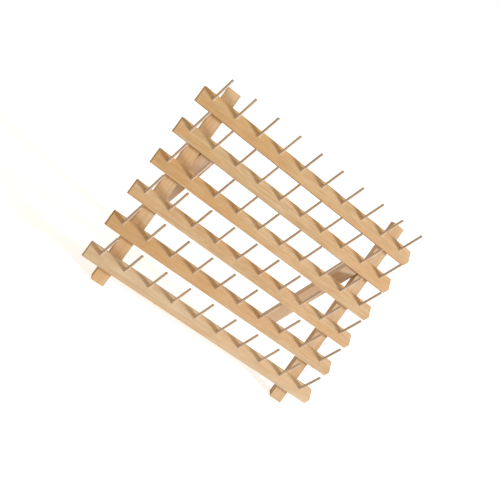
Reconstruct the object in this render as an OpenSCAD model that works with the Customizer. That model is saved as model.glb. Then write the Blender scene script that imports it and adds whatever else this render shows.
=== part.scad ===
// Folding thread rack: six pegged rails on two uprights, propped by two legs
// that fold flat against the back. Millimetres, +Z up, +X to the right as seen
// from the pegs' side, -Y towards the person who uses it. The origin is on the
// table, under the middle of the whole rack.
//
// The rack is drawn upright first and then leaned back. In that upright frame X
// runs along the rails, Y is the depth behind the front of the rails, and Z is
// the height above the middle of the grid of pegs.

/* [Pegs] */
// Pegs on each rail
peg_count = 10; // [2:1:14]
// Distance between neighbouring pegs
peg_pitch = 40; // [34:0.5:60]
// Radius of a peg
peg_r = 2; // [1.5:0.1:2.6]
// Length of peg that stands out of the rail, along its middle line
peg_out = 42.2; // [25:0.1:60]
// Length of peg set in the rail, along its middle line
peg_in = 11.6; // [6:0.1:12]
// Angle of a peg above the line square to the rails
peg_rise = 47; // [30:0.5:55]
// How much smaller a peg's radius is at the inner end of its tapered root
peg_taper = 0.2; // [0.1:0.05:0.4]
// Chamfer on a peg's free end
peg_chamfer = 0.4; // [0.1:0.1:1]

/* [Rails] */
// Distance between neighbouring rails
rail_pitch = 50.6; // [44:0.1:70]
// Height of a rail above its line of pegs
rail_above = 7.6; // [5:0.1:12]
// Height of a rail below its line of pegs
rail_below = 15.8; // [14:0.1:20]
// Thickness of a rail
rail_t = 11; // [10:0.1:16]
// Length of a rail beyond its first peg, on the left
rail_left_end = 18; // [12:0.5:40]
// Length of a rail beyond its last peg, to the blunt point on the right
rail_right_end = 24.5; // [14:0.5:40]
// How far the top corner is cut back from the point
point_top_cut = 7.5; // [0:0.1:9]
// How far the bottom corner is cut back from the point
point_bottom_cut = 4.5; // [0:0.1:8]
// Height of the point above the bottom edge of the rail
point_height = 8; // [3:0.1:14]

/* [Uprights and legs] */
// Width of an upright
upright_w = 20; // [16:0.1:24]
// Depth of an upright
upright_t = 11.6; // [9.5:0.1:14]
// Width of a leg
leg_w = 22; // [18:0.1:26]
// Thickness of a leg
leg_t = 11.2; // [9:0.1:13.5]
// How far the middle of an upright lies in from the end peg of a rail
upright_inset = 19.2; // [14:0.1:32]
// How far the two uprights stand to the right of the middle of the pegs
upright_shift = 1.8; // [0:0.1:4]
// Length of upright above the top rail
upright_head = 20.5; // [10:0.5:60]
// Length of upright below the bottom rail
upright_foot = 20.5; // [12:0.5:60]
// Gap between an upright and its leg
leg_gap = 2.2; // [2:0.1:4]
// Angle of the rack behind the vertical
lean = 26; // [15:0.5:35]
// Angle between an open leg and its upright
leg_open = 44; // [34:0.5:60]

/* [Pivots] */
// Height of a pivot below the bottom edge of the second rail
pivot_drop = 0.4; // [-3:0.1:3]
// Length of a pivot screw, with its head
pivot_screw_l = 37; // [32:0.5:42]
// Radius of a pivot screw's shank
pivot_screw_r = 1.9; // [1.5:0.1:2.2]
// Radius of a pivot screw's countersunk head
pivot_head_r = 3.4; // [2.8:0.1:3.6]
// Radius of the spacer washer on a pivot screw
spacer_r = 4; // [3.2:0.1:4.4]

/* [Rail screws] */
// Length of a rail screw, with its head
rail_screw_l = 19; // [16:0.5:20]
// Radius of a rail screw's shank
rail_screw_r = 1.4; // [1:0.1:1.8]
// Radius of a rail screw's countersunk head
rail_head_r = 2.7; // [2:0.1:3.4]
// Height of a rail screw above the bottom edge of its rail
rail_screw_h = 6; // [4:0.1:10]

/* [Fits] */
// Gap around a piece that is driven or glued in
set_clear = 0.05; // [0.02:0.01:0.1]
// Gap around a piece that turns
run_clear = 0.08; // [0.04:0.01:0.1]
// Gap between a leg and the rails, both folded flat and stopped open
stop_gap = 0.2; // [0.1:0.05:0.4]
// Gap on each face of a spacer washer
side_play = 0.15; // [0.1:0.05:0.3]
// Gap at the bottom of a blind hole
end_gap = 0.3; // [0.1:0.1:1]

/* [Hidden] */
$fn = 64;

// The grid of pegs, in the upright frame
rail_count = 6;
grid_half_w = (peg_count - 1) * peg_pitch / 2;
grid_half_h = (rail_count - 1) * rail_pitch / 2;
peg_reach = peg_out - peg_chamfer;
// A peg is full width from just outside the slanted mouth of its hole
peg_shoulder = (peg_r + 1) * tan(peg_rise);

// Uprights and legs, in the upright frame. A pivot sits so deep that its leg
// clears the rails' backs, both folded flat and with its cut end turned to them.
upright_x = grid_half_w - upright_inset;
upright_top = grid_half_h + rail_above + upright_head;
upright_bottom = -grid_half_h - rail_below - upright_foot;
leg_x = upright_x - upright_w / 2 - leg_gap - leg_w / 2;
pivot_depth = leg_t / 2 + stop_gap;
relief_r = leg_t / 2 - stop_gap;
pivot_y = rail_t + pivot_depth;
pivot_z = rail_z(2) - rail_below - pivot_drop;

// After the rack is leaned back, its feet are lifted onto the table and it is
// centred between its lowest pegs' tips and whichever is further back, the foot
// of a leg or the head of an upright
leg_lean = leg_open - lean;
foot_rise = rail_t * sin(lean) - upright_bottom * cos(lean);
peg_front_y = leaned_y(-peg_reach * cos(peg_rise), peg_reach * sin(peg_rise) - grid_half_h)
  - peg_r * sin(lean + peg_rise);
rail_front_y = leaned_y(0, -grid_half_h - rail_below);
leg_back_y = leaned_y(pivot_y, pivot_z)
  + leaned_z(pivot_y, pivot_z) * tan(leg_lean)
  + leg_t / 2 / cos(leg_lean);
upright_back_y = leaned_y(rail_t + upright_t, upright_top);
centre_x = (rail_right_end - rail_left_end) / 2;
centre_y = (min(peg_front_y, rail_front_y) + max(leg_back_y, upright_back_y)) / 2;

// Screws and spacers
head_sink = 0.2;
screw_tip_r = 0.4;
recess_w = 0.8;
recess_depth = 0.7;
recess_share = 1.3;
spacer_t = leg_gap - 2 * side_play;

// Longer than the whole rack, for the blocks that cut wood off at a plane
block = 2 * (upright_top - upright_bottom);

WOOD = [0.85, 0.70, 0.52];
PEG_WOOD = [0.70, 0.59, 0.48];
LEG_WOOD = [0.86, 0.68, 0.53];
ZINC = [0.62, 0.60, 0.56];
FIBRE = [0.66, 0.47, 0.30];

function peg_x(i) = (i - (peg_count + 1) / 2) * peg_pitch;
function rail_z(i) = ((rail_count + 1) / 2 - i) * rail_pitch;
function leaned_y(y, z) = y * cos(lean) + z * sin(lean);
function leaned_z(y, z) = z * cos(lean) - y * sin(lean) + foot_rise;

// Leans the rack back onto its legs and centres it over the origin
module lean_back() {
  translate([-centre_x, -centre_y, foot_rise])
    rotate([-lean, 0, 0])
      children();
}

// The same pieces on the right, or mirrored on the left
module on_side(side) {
  translate([upright_shift, 0, 0])
    if (side == "left") mirror([1, 0, 0]) children();
    else children();
}

// Cuts a leaned piece off level with the table
module cut_at_table() {
  difference() {
    children();
    translate([-block, -block, -2 * block]) cube(2 * block);
  }
}

// Stands a peg or its hole at its place on a rail, its free end along +Z
module at_peg(rail_i, peg_i) {
  translate([peg_x(peg_i), 0, rail_z(rail_i)])
    rotate([90 - peg_rise, 0, 0])
      children();
}

// One peg, with a tapered root and a chamfered free end
module peg() {
  rotate_extrude()
    polygon([
      [0, -peg_in], [peg_r - peg_taper, -peg_in],
      [peg_r, peg_shoulder], [peg_r, peg_reach],
      [peg_r - peg_chamfer, peg_out], [0, peg_out],
    ]);
}

// The tapered hole for that root, a small gap wider all the way
module peg_hole() {
  depth = peg_in + end_gap;
  translate([0, 0, -depth])
    cylinder(
      h = depth + peg_shoulder,
      r1 = peg_r - peg_taper + set_clear,
      r2 = peg_r + set_clear
    );
}

// A countersunk screw driven along +Z, with the face of its head at Z = 0
module screw(length, shank_r, head_r) {
  difference() {
    rotate_extrude()
      polygon([
        [0, 0], [head_r, 0], [shank_r, head_r - shank_r],
        [shank_r, length - 2 * shank_r], [screw_tip_r, length], [0, length],
      ]);
    for (turn = [0, 90])
      rotate([0, 0, turn])
        cube([recess_share * head_r, recess_w, 2 * recess_depth], center = true);
  }
}

// The hole for that screw, open to the outside of the wood at -Z
module screw_hole(length, shank_r, head_r, clear) {
  rotate_extrude()
    polygon([
      [0, -head_sink - 1], [head_r + clear, -head_sink - 1], [head_r + clear, 0],
      [shank_r + clear, head_r - shank_r], [shank_r + clear, length + end_gap],
      [0, length + end_gap],
    ]);
}

// The place and direction of a rail's screw, in the back of an upright
module at_rail_screw(rail_i) {
  translate([
    upright_x,
    rail_t + upright_t - head_sink,
    rail_z(rail_i) - rail_below + rail_screw_h,
  ])
    rotate([90, 0, 0])
      children();
}

module rail_screw_hole() {
  screw_hole(rail_screw_l, rail_screw_r, rail_head_r, set_clear);
}

// The place and direction of a pivot screw, in the outer side of an upright
module at_pivot_screw() {
  translate([upright_x + upright_w / 2 - head_sink, pivot_y, pivot_z])
    rotate([0, -90, 0])
      children();
}

module pivot_screw_hole(clear) {
  screw_hole(pivot_screw_l, pivot_screw_r, pivot_head_r, clear);
}

// The front of a rail: square on the left, a blunt point on the right
module rail_outline() {
  left = -grid_half_w - rail_left_end;
  right = grid_half_w + rail_right_end;
  polygon([
    [left, -rail_below],
    [right - point_bottom_cut, -rail_below],
    [right, point_height - rail_below],
    [right - point_top_cut, rail_above],
    [left, rail_above],
  ]);
}

module rail(rail_i) {
  color(WOOD)
    lean_back()
      difference() {
        translate([0, rail_t, rail_z(rail_i)])
          rotate([90, 0, 0])
            linear_extrude(rail_t) rail_outline();
        for (peg_i = [1 : peg_count]) at_peg(rail_i, peg_i) peg_hole();
        for (side = ["left", "right"])
          on_side(side) at_rail_screw(rail_i) rail_screw_hole();
      }
}

module pegs(rail_i) {
  color(PEG_WOOD)
    lean_back()
      for (peg_i = [1 : peg_count]) at_peg(rail_i, peg_i) peg();
}

module upright(side) {
  color(WOOD)
    cut_at_table()
      lean_back()
        on_side(side)
          difference() {
            translate([upright_x - upright_w / 2, rail_t, upright_bottom - upright_t])
              cube([upright_w, upright_t, upright_top - upright_bottom + upright_t]);
            for (rail_i = [1 : rail_count]) at_rail_screw(rail_i) rail_screw_hole();
            at_pivot_screw() pivot_screw_hole(run_clear);
          }
}

module rail_screws(side) {
  color(ZINC)
    lean_back()
      on_side(side)
        for (rail_i = [1 : rail_count])
          at_rail_screw(rail_i) screw(rail_screw_l, rail_screw_r, rail_head_r);
}

// Cuts a leg's end with a plane at a distance from the pivot. At angle 0 the
// plane is the front of the leg, and a larger angle turns it towards the top.
module end_cut(angle, distance) {
  rotate([-angle, 0, 0])
    translate([-leg_w, -distance - block, -block])
      cube([2 * leg_w, block, 2 * block]);
}

// A leg hanging straight down from its pivot. Its top is cut so that it lies
// flat against the second rail when the leg is open, and its front corner is
// taken off so that it clears that rail on the way.
module straight_leg() {
  difference() {
    translate([-leg_w / 2, -leg_t / 2, -block])
      cube([leg_w, leg_t, block + 2 * leg_t]);
    end_cut(leg_open, pivot_depth - stop_gap);
    end_cut(leg_open / 2, relief_r);
  }
}

module leg(side) {
  color(LEG_WOOD)
    cut_at_table()
      lean_back()
        on_side(side)
          difference() {
            translate([leg_x, pivot_y, pivot_z])
              rotate([leg_open, 0, 0])
                straight_leg();
            at_pivot_screw() pivot_screw_hole(set_clear);
          }
}

module pivot_screw(side) {
  color(ZINC)
    lean_back()
      on_side(side)
        at_pivot_screw() screw(pivot_screw_l, pivot_screw_r, pivot_head_r);
}

module spacer(side) {
  color(FIBRE)
    lean_back()
      on_side(side)
        translate([upright_x - upright_w / 2 - side_play, pivot_y, pivot_z])
          rotate([0, -90, 0])
            difference() {
              cylinder(h = spacer_t, r = spacer_r);
              translate([0, 0, -1]) cylinder(h = spacer_t + 2, r = pivot_screw_r + run_clear);
            }
}

for (rail_i = [1 : rail_count]) {
  rail(rail_i);
  pegs(rail_i);
}
for (side = ["left", "right"]) {
  upright(side);
  rail_screws(side);
  leg(side);
  pivot_screw(side);
  spacer(side);
}
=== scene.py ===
import math

import bpy
from mathutils import Matrix, Vector


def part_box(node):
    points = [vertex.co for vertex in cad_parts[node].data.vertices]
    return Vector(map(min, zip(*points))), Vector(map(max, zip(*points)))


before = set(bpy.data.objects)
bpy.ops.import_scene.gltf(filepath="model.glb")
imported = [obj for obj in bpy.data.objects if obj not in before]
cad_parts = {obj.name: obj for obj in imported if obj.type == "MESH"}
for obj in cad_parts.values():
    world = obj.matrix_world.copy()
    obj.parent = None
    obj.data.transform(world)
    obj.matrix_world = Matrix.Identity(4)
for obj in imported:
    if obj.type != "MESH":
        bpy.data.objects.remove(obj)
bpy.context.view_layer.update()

MM = 0.001

# How the rack stands. Its plane leans back by LEAN, and the legs stand LEG_OPEN
# behind the uprights.
LEAN = math.radians(26.0)
LEG_OPEN = math.radians(44.0)
PEG_RISE = math.radians(47.0)

# A rail's section: its edges above and below the line of its pegs, and its depth
RAIL_ABOVE = 7.6 * MM
RAIL_BELOW = 15.8 * MM
RAIL_DEPTH = 11.0 * MM
HALF_LENGTH = 201.0 * MM

# The photograph's camera, in the leaning frame of the rack: U runs along the
# rails, V up the uprights and W out of the rails towards the user. Its origin is
# the middle of the grid of pegs, on the front of the rails.
GRID_CENTRE_X = -3.25 * MM
TARGET_UVW = Vector((-12.8, -5.9, 0.0)) * MM
VIEW_FROM_LEFT = math.radians(20.87)
VIEW_FROM_BELOW = math.radians(0.99)
VIEW_ROLL = math.radians(35.88)
VIEW_DISTANCE = 1116.5 * MM
LENS = 57.6

# How much paler a rail is at its right end than at its left
RAIL_RIGHT_PALING = 0.5

# Light on the rack: the lamp's power, the room's even light, and the table's glow
KEY_POWER = 395.0
KEY_DISTANCE = 6.0
KEY_SIZE = 1.0
KEY_COLOUR = (0.97, 1.0, 1.03)
ROOM_LIGHT = 0.56
ROOM_COLOUR = (1.0, 0.83, 0.64)
FLOOR_GLOW = 0.62


def rack_axes():
    """The rack's U, V and W directions in the scene's own axes."""
    u = Vector((1.0, 0.0, 0.0))
    v = Vector((0.0, math.sin(LEAN), math.cos(LEAN)))
    w = Vector((0.0, -math.cos(LEAN), math.sin(LEAN)))
    return u, v, w


U, V, W = rack_axes()


def grid_centre():
    """The middle of the grid of pegs on the rails' front, found from the end rails."""
    top_low, top_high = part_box("rail_1")
    low_low, low_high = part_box("rail_6")
    middle = (Vector(top_low) + Vector(top_high) + Vector(low_low) + Vector(low_high)) / 4
    # A rail's box is centred on its section, which is offset from the line of pegs
    centre = middle - (V * (RAIL_ABOVE - RAIL_BELOW) - W * RAIL_DEPTH) / 2
    centre.x = GRID_CENTRE_X
    return centre


def rack_point(uvw):
    """A point given in the rack's leaning frame, in the scene's axes."""
    return grid_centre() + U * uvw[0] + V * uvw[1] + W * uvw[2]


def direction_matrix(along, across):
    """A rotation whose X column runs along the grain and whose Y column across it."""
    x = along.normalized()
    z = x.cross(across).normalized()
    y = z.cross(x)
    return Matrix((x, y, z)).transposed()


class Graph:
    """Small helpers to build a material's node tree in code."""

    def __init__(self, name):
        self.material = bpy.data.materials.new(name)
        self.material.use_nodes = True
        self.tree = self.material.node_tree
        self.tree.nodes.clear()

    def add(self, kind, settings=None, **inputs):
        node = self.tree.nodes.new(kind)
        for key, value in (settings or {}).items():
            setattr(node, key, value)
        for key, value in inputs.items():
            self.feed(node.inputs[key.replace("_", " ")], value)
        return node

    def feed(self, socket, value):
        if isinstance(value, bpy.types.NodeSocket):
            self.tree.links.new(value, socket)
        else:
            socket.default_value = value

    def math(self, operation, a, b=None, clamp=False):
        node = self.add("ShaderNodeMath", {"operation": operation, "use_clamp": clamp})
        self.feed(node.inputs[0], a)
        if b is not None:
            self.feed(node.inputs[1], b)
        return node.outputs[0]

    def ramp(self, value, low, high, to_low=0.0, to_high=1.0):
        node = self.add("ShaderNodeMapRange", {"interpolation_type": "SMOOTHSTEP"})
        self.feed(node.inputs["Value"], value)
        self.feed(node.inputs["From Min"], low)
        self.feed(node.inputs["From Max"], high)
        self.feed(node.inputs["To Min"], to_low)
        self.feed(node.inputs["To Max"], to_high)
        return node.outputs["Result"]

    def mix(self, factor, a, b, blend="MIX"):
        node = self.add("ShaderNodeMix", {"data_type": "RGBA", "blend_type": blend})
        self.feed(node.inputs["Factor"], factor)
        self.feed(node.inputs[6], a)
        self.feed(node.inputs[7], b)
        return node.outputs[2]

    def noise(self, vector, scale, detail=3.0, rough=0.5, distortion=0.0):
        node = self.add(
            "ShaderNodeTexNoise",
            Vector=vector, Scale=scale, Detail=detail, Roughness=rough, Distortion=distortion,
        )
        return node.outputs["Fac"]

    def bump(self, height, strength, distance, normal=None):
        node = self.add("ShaderNodeBump", Height=height, Strength=strength, Distance=distance)
        if normal is not None:
            self.feed(node.inputs["Normal"], normal)
        return node.outputs["Normal"]

    def surface(self, **inputs):
        shader = self.add("ShaderNodeBsdfPrincipled", **inputs)
        output = self.add("ShaderNodeOutputMaterial")
        self.tree.links.new(shader.outputs["BSDF"], output.inputs["Surface"])
        return self.material


def rgb(red, green, blue):
    """A colour given as 0 to 255 on screen, in the renderer's linear values."""
    linear = [((c / 255 + 0.055) / 1.055) ** 2.4 for c in (red, green, blue)]
    return (*linear, 1.0)


def grain_vector(graph, along, across, seed, stretch):
    """Coordinates in millimetres with X along the grain, squeezed by stretch."""
    coords = graph.add("ShaderNodeTexCoord").outputs["Object"]
    turned = graph.add("ShaderNodeMapping", {"vector_type": "POINT"}, Vector=coords)
    turn = direction_matrix(along, across).transposed().to_euler()
    turned.inputs["Rotation"].default_value = turn
    turned.inputs["Scale"].default_value = (1 / MM, 1 / MM, 1 / MM)
    placed = graph.add("ShaderNodeMapping", {"vector_type": "POINT"}, Vector=turned.outputs[0])
    placed.inputs["Location"].default_value = (seed * 37.3, seed * 11.9, seed * 23.7)
    placed.inputs["Scale"].default_value = (1 / stretch, 1.0, 1.0)
    return placed.outputs[0]


def along_rack(graph):
    """Rises from 0 at the rack's left end to 1 at its right end."""
    coords = graph.add("ShaderNodeTexCoord").outputs["Object"]
    x = graph.add("ShaderNodeSeparateXYZ", None, Vector=coords).outputs["X"]
    return graph.ramp(x, -HALF_LENGTH, HALF_LENGTH)


def facing_grain(graph, along):
    """How far a face is an end of the grain: 0 on the sides and 1 on a sawn end."""
    normal = graph.add("ShaderNodeTexCoord").outputs["Normal"]
    dot = graph.add("ShaderNodeVectorMath", {"operation": "DOT_PRODUCT"})
    graph.feed(dot.inputs[0], normal)
    graph.feed(dot.inputs[1], tuple(along.normalized()))
    return graph.ramp(graph.math("ABSOLUTE", dot.outputs["Value"]), 0.55, 0.8)


def wood(name, along, across, light, dark, seed, warm=rgb(218, 168, 112), right_paling=0.0, bands=0.16, fibre=0.22):
    """Smooth bare softwood: wandering growth lines, fine fibres, pores and sawn ends."""
    graph = Graph(name)
    lines = grain_vector(graph, along, across, seed, 26.0)
    streaks = grain_vector(graph, along, across, seed + 2.0, 14.0)
    fibres = grain_vector(graph, along, across, seed + 5.0, 60.0)
    cloud = grain_vector(graph, along, across, seed + 9.0, 3.0)

    wander = graph.noise(lines, 0.09, 2.0, 0.5)
    wave = graph.add(
        "ShaderNodeTexWave",
        {"wave_type": "BANDS", "bands_direction": "Y", "wave_profile": "SIN"},
        Vector=lines, Scale=bands, Distortion=4.2, Detail=2.0, Detail_Scale=0.55,
    )
    growth = graph.ramp(wave.outputs["Fac"], 0.25, 1.0)
    fine = graph.noise(fibres, 1.9, 4.0, 0.62)
    streak = graph.ramp(graph.noise(streaks, 0.35, 4.0, 0.6), 0.42, 0.66)
    mottle = graph.noise(streaks, 1.1, 3.0, 0.7)
    blotch = graph.noise(cloud, 0.022, 3.0, 0.55)
    pores = graph.ramp(graph.noise(fibres, 3.4, 1.0, 0.4), 0.66, 0.76)

    middle = tuple((a + b) / 2 for a, b in zip(light, dark))
    pale = tuple(c ** 0.82 for c in light[:3]) + (1.0,)
    colour = graph.mix(graph.ramp(blotch, 0.36, 0.64), pale, middle)
    # Paler towards the rack's right end.
    colour = graph.mix(graph.math("MULTIPLY", along_rack(graph), right_paling), colour, rgb(226, 208, 182))
    colour = graph.mix(graph.math("MULTIPLY", growth, 0.58), colour, dark)
    colour = graph.mix(graph.math("MULTIPLY", graph.ramp(fine, 0.35, 0.75), fibre), colour, dark)
    shade = tuple(c * 0.78 for c in dark[:3]) + (1.0,)
    colour = graph.mix(graph.math("MULTIPLY", streak, 0.50), colour, shade)
    colour = graph.mix(graph.ramp(mottle, 0.40, 0.62, 0.0, 0.34), colour, shade)
    deep = tuple(c * 0.45 for c in dark[:3]) + (1.0,)
    colour = graph.mix(graph.math("MULTIPLY", pores, 0.22), colour, deep)
    colour = graph.mix(graph.ramp(wander, 0.38, 0.68, 0.0, 0.42), colour, warm)

    end = facing_grain(graph, along)
    rings = graph.noise(cloud, 0.9, 5.0, 0.7)
    end_colour = graph.mix(graph.ramp(rings, 0.3, 0.7), dark, tuple(c * 0.62 for c in dark[:3]) + (1.0,))
    colour = graph.mix(graph.math("MULTIPLY", end, 0.55), colour, end_colour)

    # Paler along the edges where two faces meet.
    edge = edge_paling(graph)
    colour = graph.mix(graph.math("MULTIPLY", edge, 0.35), colour, light)

    height = graph.math("SUBTRACT", fine, graph.math("MULTIPLY", pores, 0.7))
    rough = graph.math("ADD", graph.ramp(fine, 0.2, 0.8, 0.50, 0.66), graph.math("MULTIPLY", end, 0.15))
    normal = graph.bump(height, 0.35, 0.12 * MM)
    return graph.surface(
        Base_Color=colour, Roughness=rough, Normal=normal, Specular_IOR_Level=0.32,
    )


def edge_paling(graph):
    """Rises from 0 to 1 where two faces meet, from how a rounded normal turns there."""
    rounded = graph.add("ShaderNodeBevel", {"samples": 4}, Radius=0.7 * MM).outputs["Normal"]
    true = graph.add("ShaderNodeNewGeometry").outputs["Normal"]
    dot = graph.add("ShaderNodeVectorMath", {"operation": "DOT_PRODUCT"})
    graph.feed(dot.inputs[0], rounded)
    graph.feed(dot.inputs[1], true)
    return graph.ramp(dot.outputs["Value"], 0.995, 0.86)


def peg_wood(along, across):
    """Birch dowel: greyer than the rails, each peg a little different from the next."""
    graph = Graph("peg_wood")
    each = graph.add("ShaderNodeNewGeometry").outputs["Random Per Island"]
    fibres = grain_vector(graph, along, across, 3.0, 30.0)
    fine = graph.noise(fibres, 1.6, 3.0, 0.6)
    streak = graph.noise(fibres, 0.55, 2.0, 0.5)
    light = graph.mix(each, rgb(225, 205, 184), rgb(207, 187, 166))
    dark = rgb(168, 142, 118)
    colour = graph.mix(graph.ramp(fine, 0.35, 0.8, 0.0, 0.5), light, dark)
    colour = graph.mix(graph.ramp(streak, 0.4, 0.75, 0.0, 0.35), colour, rgb(196, 163, 132))
    end = facing_grain(graph, along)
    colour = graph.mix(graph.math("MULTIPLY", end, 0.45), colour, rgb(150, 112, 74))
    normal = graph.bump(fine, 0.3, 0.08 * MM)
    return graph.surface(
        Base_Color=colour, Roughness=graph.ramp(fine, 0.2, 0.8, 0.42, 0.6), Normal=normal,
        Specular_IOR_Level=0.35,
    )


def screw_steel():
    """Dull zinc plate with fine scratches."""
    graph = Graph("screw_steel")
    coords = graph.add("ShaderNodeTexCoord").outputs["Object"]
    speck = graph.noise(coords, 900.0, 3.0, 0.6)
    colour = graph.mix(graph.ramp(speck, 0.3, 0.7), rgb(176, 172, 160), rgb(138, 132, 118))
    normal = graph.bump(speck, 0.2, 0.05 * MM)
    return graph.surface(
        Base_Color=colour, Metallic=1.0, Roughness=graph.ramp(speck, 0.2, 0.8, 0.3, 0.5), Normal=normal,
    )


def spacer_fibre():
    """Pale brown fibre."""
    graph = Graph("spacer_fibre")
    coords = graph.add("ShaderNodeTexCoord").outputs["Object"]
    speck = graph.noise(coords, 700.0, 3.0, 0.6)
    colour = graph.mix(speck, rgb(166, 122, 84), rgb(140, 98, 66))
    normal = graph.bump(speck, 0.3, 0.06 * MM)
    return graph.surface(Base_Color=colour, Roughness=0.7, Normal=normal)


def dress(node, material):
    """Gives a CAD node one material."""
    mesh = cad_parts[node].data
    mesh.materials.clear()
    mesh.materials.append(material)


def soften(node, width, segments=3):
    """Takes the sharpness off a node's edges."""
    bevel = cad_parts[node].modifiers.new("soft edges", "BEVEL")
    bevel.width = width
    bevel.segments = segments
    bevel.limit_method = "ANGLE"
    bevel.angle_limit = math.radians(35.0)
    bevel.harden_normals = True


def dress_rack():
    rail_tones = (
        (rgb(222, 200, 156), rgb(206, 160, 102)),
        (rgb(220, 198, 156), rgb(206, 162, 108)),
        (rgb(222, 196, 152), rgb(206, 158, 102)),
        (rgb(221, 195, 154), rgb(204, 158, 106)),
        (rgb(220, 197, 156), rgb(202, 158, 108)),
        (rgb(230, 214, 186), rgb(216, 184, 142)),
    )
    for number, (light, dark) in enumerate(rail_tones, start=1):
        board = wood(f"rail_wood_{number}", U, V, light, dark, seed=number * 3.1, right_paling=RAIL_RIGHT_PALING)
        dress(f"rail_{number}", board)
        soften(f"rail_{number}", 0.5 * MM)
    leg_along = V * math.cos(LEG_OPEN) + W * math.sin(LEG_OPEN)
    peg_along = V * math.sin(PEG_RISE) + W * math.cos(PEG_RISE)
    pegs = peg_wood(peg_along, U)
    for number in range(1, 7):
        dress(f"pegs_{number}", pegs)
    steel = screw_steel()
    fibre = spacer_fibre()
    upright_tones = (
        ("left", 31.0, rgb(240, 222, 184), rgb(224, 186, 140)),
        ("right", 47.0, rgb(230, 208, 172), rgb(212, 172, 128)),
    )
    for side, seed, light, dark in upright_tones:
        upright = wood(f"upright_wood_{side}", V, U, light, dark, seed)
        leg = wood(f"leg_wood_{side}", leg_along, U, rgb(240, 226, 208), rgb(226, 192, 158), seed + 7.0, rgb(236, 192, 148))
        dress(f"upright_{side}", upright)
        dress(f"leg_{side}", leg)
        soften(f"upright_{side}", 0.5 * MM)
        soften(f"leg_{side}", 0.5 * MM)
        for node in (f"rail_screws_{side}", f"pivot_screw_{side}"):
            dress(node, steel)
        dress(f"spacer_{side}", fibre)


def add_camera():
    data = bpy.data.cameras.new("camera")
    data.sensor_width = 36.0
    data.lens = LENS
    data.clip_start = 0.01
    camera = bpy.data.objects.new("camera", data)
    bpy.context.scene.collection.objects.link(camera)
    look = (
        U * math.sin(VIEW_FROM_LEFT) * math.cos(VIEW_FROM_BELOW)
        + V * math.sin(VIEW_FROM_BELOW)
        - W * math.cos(VIEW_FROM_LEFT) * math.cos(VIEW_FROM_BELOW)
    )
    right = look.cross(V).normalized()
    up = right.cross(look)
    rolled_right = right * math.cos(VIEW_ROLL) + up * math.sin(VIEW_ROLL)
    rolled_up = up * math.cos(VIEW_ROLL) - right * math.sin(VIEW_ROLL)
    turn = Matrix((rolled_right, rolled_up, -look)).transposed().to_4x4()
    place = rack_point(TARGET_UVW) - look * VIEW_DISTANCE
    camera.matrix_world = Matrix.Translation(place) @ turn
    bpy.context.scene.camera = camera


def add_floor():
    """A plain pale table top. To the camera it glows a little, so that it reads as white around its shadow."""
    bpy.ops.mesh.primitive_plane_add(size=12.0, location=(0.0, 0.0, 0.0))
    floor = bpy.context.object
    floor.name = "floor"
    graph = Graph("floor_white")
    seen = graph.add("ShaderNodeLightPath").outputs["Is Camera Ray"]
    glow = graph.math("MULTIPLY", seen, FLOOR_GLOW)
    material = graph.surface(
        Base_Color=(0.82, 0.85, 0.89, 1.0), Roughness=0.9, Specular_IOR_Level=0.1,
        Emission_Color=(1.0, 1.0, 1.0, 1.0), Emission_Strength=glow,
    )
    floor.data.materials.append(material)


def add_area_light(name, towards, distance, size, power):
    """A round soft box that shines on the middle of the rack from the given direction."""
    data = bpy.data.lights.new(name, "AREA")
    data.shape = "DISK"
    data.size = size
    data.energy = power
    data.color = KEY_COLOUR
    lamp = bpy.data.objects.new(name, data)
    bpy.context.scene.collection.objects.link(lamp)
    place = grid_centre() + towards.normalized() * distance
    lamp.location = place
    lamp.rotation_euler = towards.to_track_quat("Z", "Y").to_euler()


def add_lights():
    """One soft lamp from the right and in front, in an evenly lit room that the camera sees as white."""
    add_area_light("key", U * 2.3 + V * 0.25 + W, KEY_DISTANCE, KEY_SIZE, KEY_POWER)
    world = bpy.data.worlds.new("white room")
    world.use_nodes = True
    tree = world.node_tree
    background = tree.nodes["Background"]
    path = tree.nodes.new("ShaderNodeLightPath")
    seen = tree.nodes.new("ShaderNodeMath")
    seen.operation = "MAXIMUM"
    tree.links.new(path.outputs["Is Camera Ray"], seen.inputs[0])
    tree.links.new(path.outputs["Is Glossy Ray"], seen.inputs[1])
    strength = tree.nodes.new("ShaderNodeMapRange")
    strength.inputs["To Min"].default_value = ROOM_LIGHT
    strength.inputs["To Max"].default_value = 1.0
    tree.links.new(seen.outputs[0], strength.inputs["Value"])
    tree.links.new(strength.outputs["Result"], background.inputs["Strength"])
    tint = tree.nodes.new("ShaderNodeMix")
    tint.data_type = "RGBA"
    tint.inputs[6].default_value = (*ROOM_COLOUR, 1.0)
    tint.inputs[7].default_value = (1.0, 1.0, 1.0, 1.0)
    tree.links.new(seen.outputs[0], tint.inputs["Factor"])
    tree.links.new(tint.outputs[2], background.inputs["Color"])
    bpy.context.scene.world = world


bpy.context.scene.view_settings.view_transform = "Standard"
dress_rack()
add_floor()
add_lights()
add_camera()
